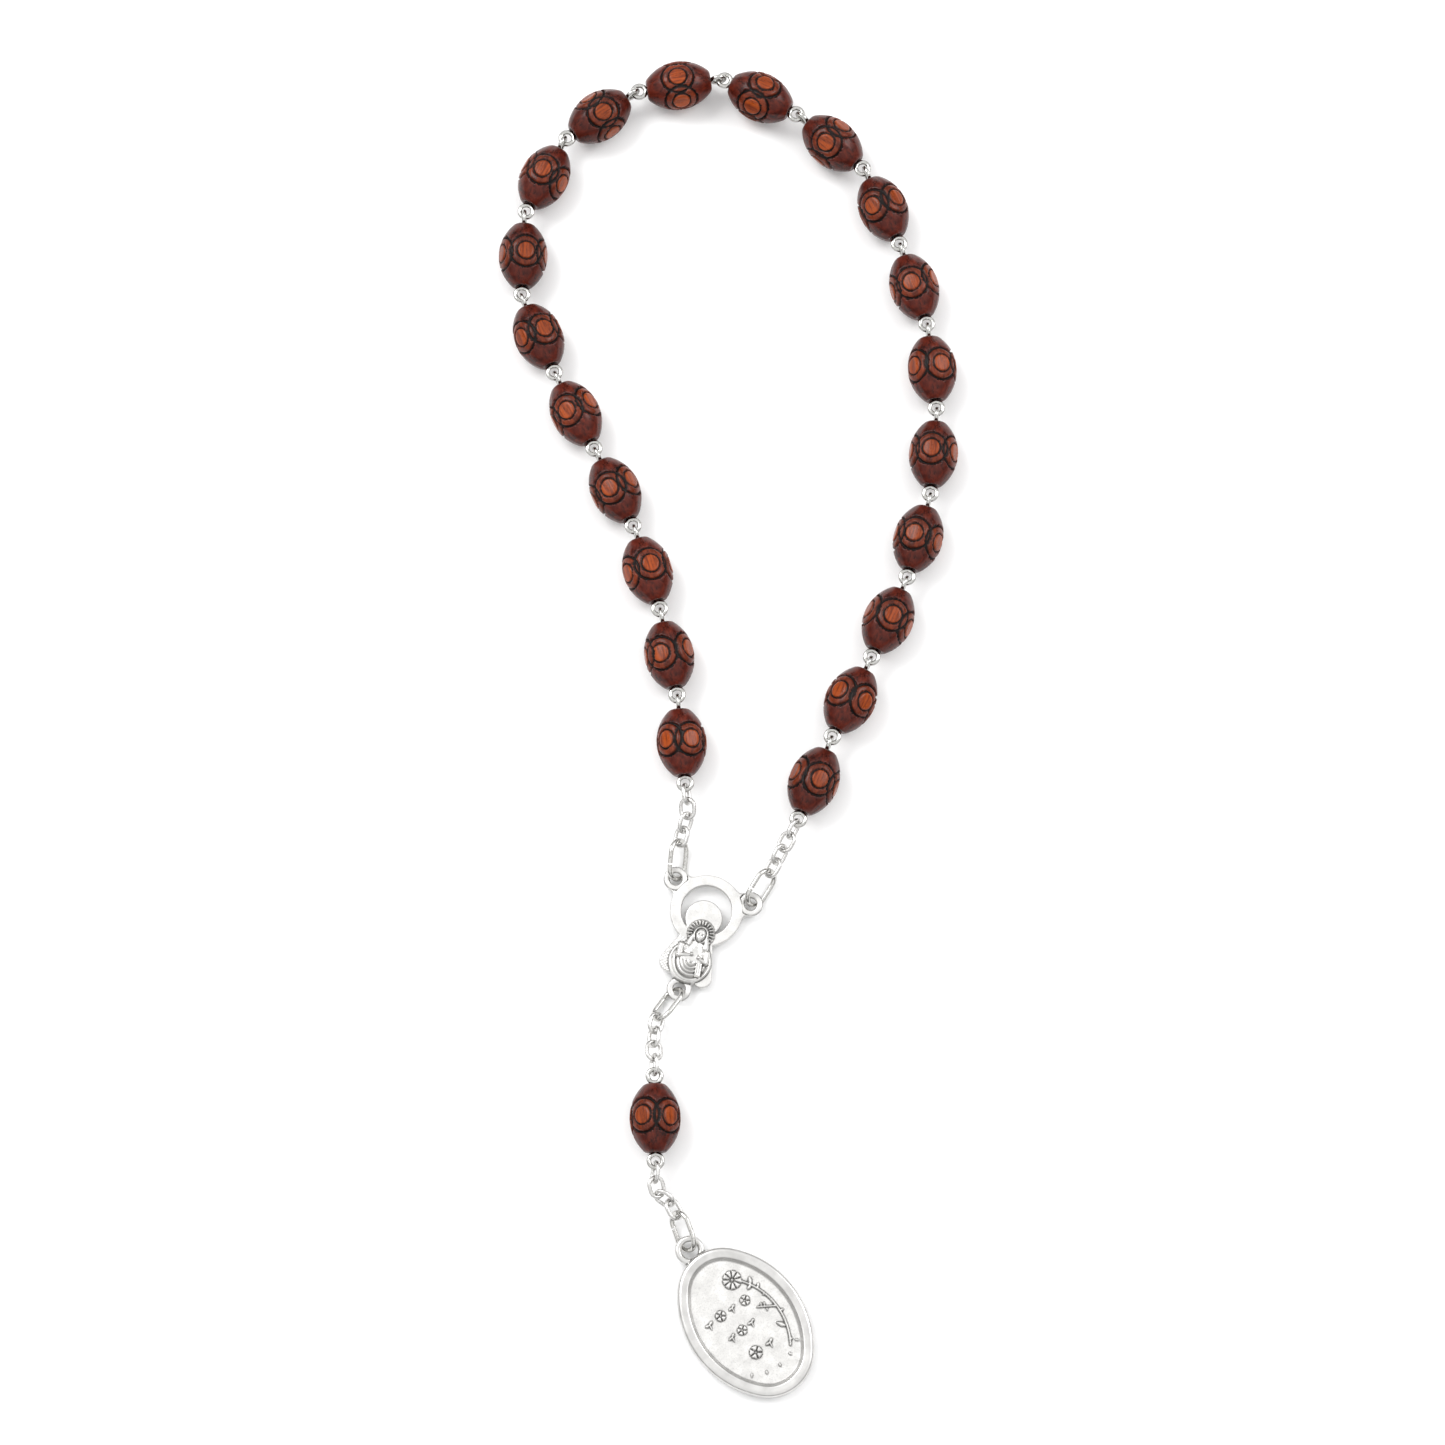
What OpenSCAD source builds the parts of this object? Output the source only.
// A chaplet rosary laid out on a table: twenty carved wooden beads on turned wire pins make the loop,
// a centrepiece joins the loop to a pendant chain with one more bead, and an oval medal ends it.
// Millimetres, +Z up. The origin is on the table, under the middle of the laid-out rosary.

/* [Beads] */
// Widest diameter of a bead
bead_d = 6; // [5:0.5:7]
// Length of a bead along its bore
bead_l = 8; // [7:0.5:9]
// Diameter of the flat at each end of a bead
bead_end_d = 2.4; // [2.2:0.1:2.8]
// Diameter of the bore through a bead
bead_bore_d = 1; // [0.8:0.05:1.2]
// Diameter of the countersunk mouth of the bore
bead_mouth_d = 1.7; // [1.5:0.1:1.9]
// Beads in each arm of the loop
arm_beads = 10; // [10:1:10]

/* [Wire] */
// Wire diameter of the pins through the beads
pin_wire_d = 0.56; // [0.4:0.02:0.6]
// Mean radius of the eye at each end of a pin
eye_r = 0.8; // [0.75:0.05:0.9]
// Distance from a bead's end to the centre of the eye
eye_reach = 0.97; // [0.9:0.01:1.1]
// Wire diameter of the chain links
link_wire_d = 0.5; // [0.4:0.05:0.55]
// Outside length of a chain link
link_l = 2.8; // [2.7:0.05:3]
// Outside width of a chain link
link_w = 2.25; // [2.1:0.05:2.4]
// Wire diameter of the jump rings
ring_wire_d = 0.62; // [0.5:0.02:0.66]
// Outside length of a jump ring
ring_l = 5.2; // [5:0.1:5.6]
// Outside width of a jump ring
ring_w = 3.4; // [3.2:0.1:3.6]
// Gap left where a jump ring's wire was closed
ring_gap = 0.16; // [0.1:0.02:0.3]
// Play between two wires that hang in each other
play = 0.08; // [0.05:0.01:0.12]

/* [Centrepiece] */
// Outside diameter of the washer-shaped ring
washer_d = 8.6; // [8:0.1:9]
// Diameter of its round opening
washer_hole_d = 6; // [5.6:0.1:6.2]
// Diameter of the disc set low in the opening
disc_d = 4.4; // [4:0.1:4.6]
// How far the disc's centre lies below the opening's centre
disc_drop = 1; // [0.9:0.05:1.3]
// Plate thickness of the ring, the disc and the eyelets
plate_t = 0.9; // [0.7:0.1:1]
// Height of the figure's relief above the plate
relief_t = 1.1; // [0.6:0.1:1.4]
// Lean of the centrepiece from the up direction, turned clockwise
centre_lean = 19; // [10:1:30]

/* [Medal] */
// Length of the oval medal without its eyelet
medal_l = 19; // [18:0.5:20]
// Width of the oval medal
medal_w = 13.8; // [13:0.2:14.4]
// Thickness at the rim
medal_t = 2; // [1.6:0.1:2.2]
// Width of the raised rim
rim_w = 1.1; // [0.8:0.1:1.4]
// Depth of the sunken field on each face
field_depth = 0.45; // [0.3:0.05:0.6]
// Thickness of the round section of the medal's eyelet
medal_eyelet_wire_d = 0.74; // [0.7:0.02:0.8]
// Mean radius of the medal's eyelet
medal_eyelet_r = 1.34; // [1.3:0.02:1.4]

/* [Hidden] */
$fn = 48;

bead_r = bead_d / 2;
pin_r = pin_wire_d / 2;
link_r = link_wire_d / 2;
ring_r = ring_wire_d / 2;
pin_half = bead_l / 2 + eye_reach;      // bead centre to eye centre
pin_reach = pin_half + eye_r;           // bead centre to the far wire of an eye
link_reach = (link_l - link_wire_d) / 2; // link centre to the wire at its end
ring_reach = (ring_l - ring_wire_d) / 2; // jump ring centre to the wire at its end
barrel_sag = (bead_d - bead_end_d) / 2;
barrel_r = (pow(bead_l / 2, 2) + pow(barrel_sag, 2)) / (2 * barrel_sag); // arc of the bead's side

// Centrepiece: local y points up its axis, and the washer's centre is its origin.
centre_xy = [-2.46, -25.17];            // places the middle of the whole on the origin
centre_z = 0.74;                        // its back rests on the jump rings' wire
eyelet_r = 1.1;                         // mean radius of its three round-sectioned eyelets
eyelet_wire_d = 0.6;
arm_eyelet_reach = 5.3;                 // washer centre to the two upper eyelets
arm_eyelet_angle = 28;                  // of those eyelets above the washer's cross axis
foot_eyelet_reach = 9.9;                // washer centre to the lower eyelet

// Medal: local y points from its centre to its eyelet.
medal_turn = 38;                        // its eyelet lies this far left of the up direction
medal_eyelet_reach = 10.5;
medal_eyelet_z = medal_t / 2 + 0.14;    // high enough for the jump ring to pass under it

// Lay of each chain run from the flat end to the bead: jump ring, then four links.
run_slopes = [10, 8, 10, 14];           // rise of the first four; the last one makes up the height
run_rolls = [52, -38, 50, -25, 68];     // turn of each ring about its own length, 0 lying flat

// Headings on the table, in degrees anticlockwise from +X, walking away from the centrepiece.
left_run = [84, 75, 72, 92, 97];
left_lay = [95, 101, 107, 116, 117, 113, 89, 64, 36];
right_run = [58, 60, 63, 60, 62];
right_lay = [68, 64, 66, 74, 85, 95, 107, 113, 138];
pendant_run = [234, 256, 268, 272, 272];
pendant_heading = 271;
medal_run = [266, 285, 325, 300, 290];  // from the bead: four links, then the jump ring

function dir(yaw, slope = 0) = [cos(slope) * cos(yaw), cos(slope) * sin(yaw), sin(slope)];
function flat(v) = [v[0], v[1], 0];
function total(v, i = 0) = i < len(v) ? v[i] + total(v, i + 1) : 0;

// The reach and wire radius of the five pieces of a run, from the flat end to the bead.
run_reaches = [ring_reach, link_reach, link_reach, link_reach, link_reach];
run_wires = [ring_r, link_r, link_r, link_r, link_r];
function hook(a, b) = a + b + play;     // distance between the centres of two hooked wires
function run_step(i) = 2 * run_reaches[i] - (i == 0 ? 0 : hook(run_wires[i - 1], run_wires[i]));

// The slope of the link at the bead, so that a run climbs exactly from z0 to the pin's height.
function last_slope(z0) =
    asin((bead_r - z0 - total([for (i = [0:3]) run_step(i) * sin(run_slopes[i])])) / run_step(4));
function slopes(z0) = concat(run_slopes, [last_slope(z0)]);

// One step of a walk: [centre, end of the far wire, heading, slope] of the next piece. The two
// wires hook each other along a heading halfway between the old one and the new one.
function step(from, hooked, reach, yaw, slope) =
    let (c = from[1] + dir(yaw, slope) * reach - dir((from[2] + yaw) / 2, slope) * hooked)
    [c, c + dir(yaw, slope) * reach, yaw, slope];

// Walk a run upwards from an eyelet, or downwards from a pin's lower eye.
function run_up(from, z0, yaws, i = 0) = i > 4 ? [] :
    let (s = step(from, i == 0 ? 0 : hook(run_wires[i - 1], run_wires[i]), run_reaches[i],
                  yaws[i], slopes(z0)[i]))
    concat([s], run_up(s, z0, yaws, i + 1));
function run_down(from, z0, yaws, i = 4) = i < 0 ? [] :
    let (s = step(from, i == 4 ? hook(pin_r, link_r) : hook(run_wires[i + 1], run_wires[i]),
                  run_reaches[i], yaws[4 - i], -slopes(z0)[i]))
    concat([s], run_down(s, z0, yaws, i - 1));

// Walk the pins of an arm from the piece before them, whose wire has the radius given.
function pins_up(from, wire, yaws, i = 0) = i >= len(yaws) ? [] :
    let (s = step(from, hook(wire, pin_r), pin_reach, yaws[i], 0))
    concat([s], pins_up(s, pin_r, yaws, i + 1));

// The upper crossing of two circles of radius r about a (left) and b (right).
function crossing(a, b, r) =
    let (d = b - a, h = sqrt(pow(r, 2) - pow(norm(d) / 2, 2)))
    (a + b) / 2 + h * [-d[1], d[0], 0] / norm(d);

function on_centre(v) = let (c = cos(centre_lean), s = sin(centre_lean))
    [centre_xy[0] + c * v[0] + s * v[1], centre_xy[1] - s * v[0] + c * v[1],
     centre_z + plate_t / 2];
arm_eyelet = arm_eyelet_reach * [cos(arm_eyelet_angle), sin(arm_eyelet_angle)];
left_eyelet = on_centre([-arm_eyelet[0], arm_eyelet[1]]);
right_eyelet = on_centre(arm_eyelet);
foot_eyelet = on_centre([0, -foot_eyelet_reach]);
centre_mid_z = centre_z + plate_t / 2;

// A run starts in the middle of an eyelet's hole.
function start(eyelet, yaw) = [eyelet, eyelet, yaw, 0];
left_chain = run_up(start(left_eyelet, left_run[0]), centre_mid_z, left_run);
right_chain = run_up(start(right_eyelet, right_run[0]), centre_mid_z, right_run);
left_low = pins_up(left_chain[4], link_r, left_lay);
right_low = pins_up(right_chain[4], link_r, right_lay);

// The last pin of each arm is turned so that their eyes meet, which closes the loop.
pin_hook = hook(pin_r, pin_r);
apex_hook = pin_hook + 0.1;             // the top eyes hook with more play, as no joint holds them
left_ninth = left_low[arm_beads - 2];
right_ninth = right_low[arm_beads - 2];
left_knee = left_ninth[1] - pin_hook / 2 * dir(left_ninth[2]);
right_knee = right_ninth[1] - pin_hook / 2 * dir(right_ninth[2]);
apex = crossing(left_knee, right_knee, 2 * pin_reach - (pin_hook + apex_hook) / 2);
function yaw_to(a, b) = atan2(b[1] - a[1], b[0] - a[0]);
function last_pin(ninth, knee) =
    let (n = dir(yaw_to(knee, apex)), c = apex - n * (pin_reach - apex_hook / 2))
    [c, c + n * pin_reach, yaw_to(knee, apex), 0];
left_pins = concat(left_low, [last_pin(left_ninth, left_knee)]);
right_pins = concat(right_low, [last_pin(right_ninth, right_knee)]);

pendant_chain = run_up(start(foot_eyelet, pendant_run[0]), centre_mid_z, pendant_run);
pendant_pins = pins_up(pendant_chain[4], link_r, [pendant_heading]);
medal_chain = run_down(pendant_pins[0], medal_eyelet_z, medal_run);
medal_eyelet = flat(medal_chain[4][1]);
medal_xy = medal_eyelet - medal_eyelet_reach * dir(90 + medal_turn);

// How each pin's eyes stand: the lower eye lies flat and the upper one stands up. The last
// right pin has both eyes flat so that it hooks the last left one, and so has the pendant pin.
eye_flat = 0;
eye_up = 90;
outward = [0, 1, 2, 3, 4];              // a run walked from its jump ring
inward = [4, 3, 2, 1, 0];               // a run walked towards its jump ring

// Puts a piece that is drawn along X at a place of a walk.
module at(place, roll = 0) {
    translate(place[0]) rotate([roll, -place[3], place[2]]) children();
}

// An oval of round wire in the XY plane, long along X.
module wire_oval(length, width, wire) {
    r = (width - wire) / 2;
    straight = length - width;
    for (side = [-1, 1]) {
        translate([side * straight / 2, 0, 0]) rotate([0, 0, -side * 90])
            rotate_extrude(angle = 180) translate([r, 0]) circle(d = wire);
        translate([0, side * r, 0]) rotate([0, 90, 0]) cylinder(d = wire, h = straight, center = true);
    }
}

module chain_link() {
    color("gainsboro") wire_oval(link_l, link_w, link_wire_d);
}

// gap_side is the side of the ring, +1 or -1 across, where its two ends face each other.
module jump_ring(gap_side) {
    color("silver") difference() {
        wire_oval(ring_l, ring_w, ring_wire_d);
        translate([-0.6, gap_side * (ring_w - ring_wire_d) / 2, 0])
            cube([ring_gap, 2 * ring_wire_d, 2 * ring_wire_d], center = true);
    }
}

// A straight wire with an eye turned at each end, drawn along X.
module eye_pin(near_roll, far_roll) {
    color("silver") {
        rotate([0, 90, 0]) cylinder(d = pin_wire_d, h = 2 * (pin_half - eye_r), center = true);
        for (end = [[-1, near_roll], [1, far_roll]])
            translate([end[0] * pin_half, 0, 0]) rotate([end[1], 0, 0])
                rotate_extrude() translate([eye_r, 0]) circle(d = pin_wire_d);
    }
}

// A barrel with a true arc for its side, bored along X, with a countersunk mouth at each end.
module bead() {
    mouth = (bead_mouth_d - bead_bore_d) / 2;
    color("saddlebrown") rotate([0, 90, 0]) difference() {
        rotate_extrude() intersection() {
            translate([bead_r - barrel_r, 0]) circle(r = barrel_r, $fn = 96);
            translate([0, -bead_l / 2]) square([bead_d, bead_l]);
        }
        cylinder(d = bead_bore_d, h = bead_l + 2, center = true);
        for (up = [0, 1]) mirror([0, 0, up]) translate([0, 0, bead_l / 2 - mouth])
            cylinder(d1 = bead_bore_d, d2 = bead_mouth_d + 2 * mouth, h = 2 * mouth);
    }
}

// An oval drawn with four arcs, its long axis along Y, with end arcs of radius end_r.
module four_arc_oval(length, width, end_r) {
    a = length / 2;
    b = width / 2;
    side_r = (pow(b, 2) + pow(a - end_r, 2) - pow(end_r, 2)) / (2 * (b - end_r));
    joint_y = (a - end_r) * side_r / (side_r - end_r); // where an end arc meets a side arc
    intersection() {
        translate([b - side_r, 0]) circle(r = side_r, $fn = 96);
        translate([side_r - b, 0]) circle(r = side_r, $fn = 96);
        square([width + 1, 2 * joint_y], center = true);
    }
    for (end = [-1, 1]) translate([0, end * (a - end_r)]) circle(r = end_r, $fn = 96);
}

// A round-sectioned eyelet lying flat, with its middle at height z.
module eyelet(mean_r, section_d, z) {
    translate([0, 0, z]) rotate_extrude() translate([mean_r, 0]) circle(d = section_d);
}

// The flower spray in relief: a daisy, its curved stem and four leaves.
module flower_spray(height) {
    petals = 8;
    flower = [1.72, 4.75];
    stem_r = 7.84;
    stem_c = [-3.87, -0.6];
    linear_extrude(height) {
        translate(flower) {
            circle(d = 0.9);
            for (k = [0:petals - 1]) rotate(k * 360 / petals) translate([0.75, 0]) circle(d = 0.5);
        }
        difference() {
            translate(stem_c) circle(r = stem_r + 0.16, $fn = 96);
            translate(stem_c) circle(r = stem_r - 0.16, $fn = 96);
            translate([-20, -20]) square([22.4, 40]);
            translate([-20, -25.3]) square([40, 20]);
        }
    }
    for (a = [28, 20, -4, -20]) translate(stem_c) rotate(a) translate([stem_r - 0.7, 0])
        linear_extrude(height) intersection() {
            translate([0, 0.55]) circle(d = 1.6);
            translate([0, -0.55]) circle(d = 1.6);
        }
}

module centrepiece() {
    color("silver") translate([centre_xy[0], centre_xy[1], centre_z]) rotate(-centre_lean) {
        difference() {
            cylinder(d = washer_d, h = plate_t, $fn = 96);
            translate([0, 0, -1]) cylinder(d = washer_hole_d, h = plate_t + 2, $fn = 96);
        }
        translate([0, -disc_drop, 0]) cylinder(d = disc_d, h = plate_t);
        for (side = [-1, 1]) translate([side * arm_eyelet[0], arm_eyelet[1], 0])
            eyelet(eyelet_r, eyelet_wire_d, plate_t / 2);
        translate([0, -foot_eyelet_reach, 0]) eyelet(eyelet_r, eyelet_wire_d, plate_t / 2);
        // the mantle behind the figure, with its two lower corners
        linear_extrude(plate_t) polygon([[-1.6, -3.4], [-3.7, -7.2], [-2.9, -8.6], [-0.9, -9.1],
            [0.9, -9.1], [2.9, -9.2], [3.6, -8.3], [1.9, -3.4]]);
        centre_figure();
    }
}

// The bust in its round frame: halo, head, shoulders and body, in low relief.
module centre_figure() {
    translate([0, -2.9, 0]) cylinder(r = 1.5, h = plate_t + 0.35);
    translate([0, -3, plate_t + 0.2]) sphere(d = 1.7);
    translate([0, -6.4, 0]) cylinder(r = 2.7, h = plate_t + 0.3);
    difference() {
        translate([0, -6.4, 0]) cylinder(r = 2.7, h = plate_t + 0.55);
        translate([0, -6.4, plate_t]) cylinder(r = 2.35, h = 1);
    }
    intersection() {
        translate([0, -6.4, plate_t + relief_t - 3.2]) sphere(r = 3.2, $fn = 64);
        translate([0, -6.1, 0]) cylinder(r = 2.2, h = plate_t + relief_t);
    }
}

module medal() {
    end_r = 5.3;
    inset = 2 * rim_w;
    color("silver") translate([medal_xy[0], medal_xy[1], 0]) rotate(medal_turn) {
        difference() {
            linear_extrude(medal_t) four_arc_oval(medal_l, medal_w, end_r);
            for (z = [-1, medal_t - field_depth]) translate([0, 0, z])
                linear_extrude(z < 0 ? 1 + field_depth : 1)
                    four_arc_oval(medal_l - inset, medal_w - inset, end_r - rim_w);
        }
        translate([0, medal_eyelet_reach, 0]) eyelet(medal_eyelet_r, medal_eyelet_wire_d, medal_eyelet_z);
        translate([0, 0, medal_t - field_depth]) flower_spray(0.3);
        translate([0, 0, field_depth - 0.3]) flower_spray(0.3);
    }
}

// A run's jump ring and four links, in their nodes; the two middle links share one node.
module run(name, walk, order, gap_side) {
    at(walk[order[0]], run_rolls[0]) jump_ring(gap_side);
    at(walk[order[1]], run_rolls[1]) chain_link();
    union() {
        at(walk[order[2]], run_rolls[2]) chain_link();
        at(walk[order[3]], run_rolls[3]) chain_link();
    }
    at(walk[order[4]], run_rolls[4]) chain_link();
}

// An arm's pins and the beads on them.
module arm(name, pins, last_roll) {
    for (i = [1:arm_beads]) {
        at(pins[i - 1]) eye_pin(eye_flat, i == arm_beads ? last_roll : eye_up);
        at(pins[i - 1]) bead();
    }
}

centrepiece();
medal();
run("left", left_chain, outward, 1);
run("right", right_chain, outward, 1);
run("pendant", pendant_chain, outward, -1);
run("medal", medal_chain, inward, -1);
arm("left", left_pins, eye_up);
arm("right", right_pins, eye_flat);
at(pendant_pins[0]) eye_pin(eye_flat, eye_flat);  // pendant_pin
at(pendant_pins[0]) bead();  // pendant_bead
